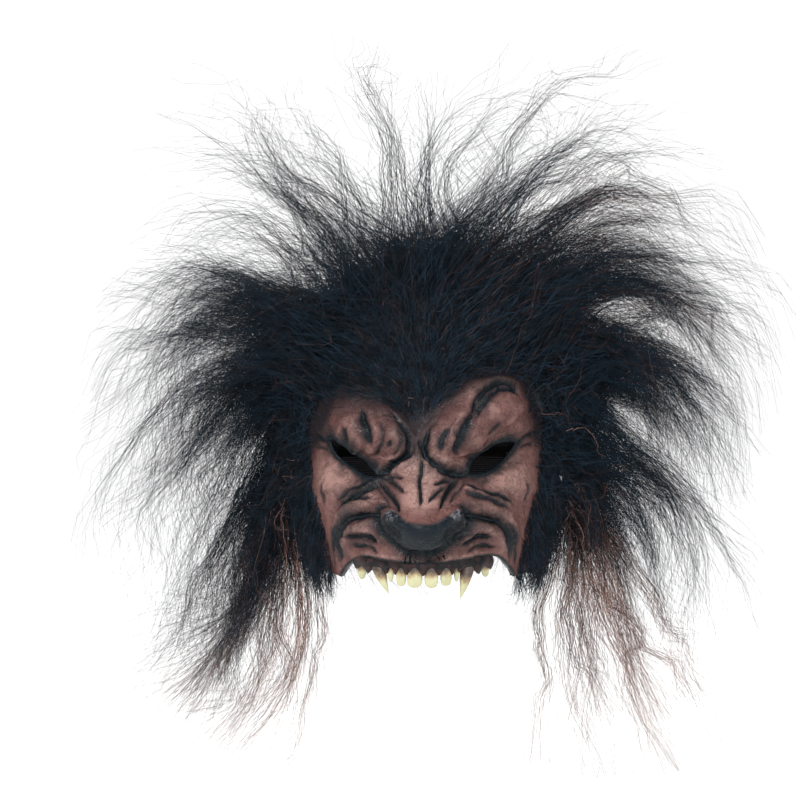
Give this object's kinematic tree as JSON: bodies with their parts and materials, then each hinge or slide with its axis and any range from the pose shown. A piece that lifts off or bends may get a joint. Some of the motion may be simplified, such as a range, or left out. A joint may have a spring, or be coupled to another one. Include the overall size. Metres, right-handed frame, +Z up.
{
  "type": "latex werewolf half mask",
  "caption": "Latex half mask of a snarling beast face with teeth, fur and a wild hair wig on a cap, worn over the head and held by an elastic strap.",
  "frame": {"origin": "the middle of the wearer's head at eye level, where the head sits in the mask", "axes": "+Z up; the face looks along -Y; +X towards the wearer's left, the viewer's right"},
  "size_m": [0.399, 0.279, 0.4253],
  "materials": {
    "latex_skin": "satin",
    "gum": "gloss",
    "tooth": "satin",
    "cap_fabric": "matte",
    "seam_tape": "matte",
    "elastic": "matte",
    "short_fur": "matte",
    "hair": "satin",
    "patch": "matte",
    "rivet_metal": "satin"
  },
  "bodies": {
    "mask": {"back_lock_1": "hair", "back_lock_2": "hair", "back_lock_3": "hair", "back_lock_4": "hair", "back_lock_5": "hair", "cap_edge_elastic": "elastic", "crown_lock_1": "hair", "crown_lock_2": "hair", "crown_lock_3": "hair", "crown_lock_4": "hair", "crown_lock_5": "hair", "crown_lock_6": "hair", "face_shell": "latex_skin", "fang_left": "tooth", "fang_right": "tooth", "forelock_fur": "short_fur", "front_lock_1": "hair", "front_lock_2": "hair", "front_lock_3": "hair", "front_lock_4": "hair", "front_lock_5": "hair", "front_lock_6": "hair", "front_lock_7": "hair", "front_lock_8": "hair", "front_seam_tape": "seam_tape", "middle_incisor_left": "tooth", "middle_incisor_right": "tooth", "molar_left": "tooth", "molar_right": "tooth", "nape_lock_1": "hair", "nape_lock_2": "hair", "nape_lock_3": "hair", "nape_lock_4": "hair", "nape_lock_5": "hair", "outer_incisor_left": "tooth", "outer_incisor_right": "tooth", "rivet_washers": "rivet_metal", "side_lock_left_1": "hair", "side_lock_left_2": "hair", "side_lock_left_3": "hair", "side_lock_right_1": "hair", "side_lock_right_2": "hair", "side_lock_right_3": "hair", "sideburn_left": "short_fur", "sideburn_right": "short_fur", "strap_patches": "patch", "strap_rivets": "rivet_metal", "thin_tooth_left": "tooth", "thin_tooth_right": "tooth", "upper_gum": "gum", "wig_cap": "cap_fabric"},
    "strap": {"elastic_strap": "elastic"}
  },
  "joints": [
    {"name": "strap_swing", "type": "hinge", "parent": "mask", "child": "strap", "pos_m": [0, -0.032, -0.012], "axis": [1, 0, 0], "range_deg": [-35, 25]}
  ]
}
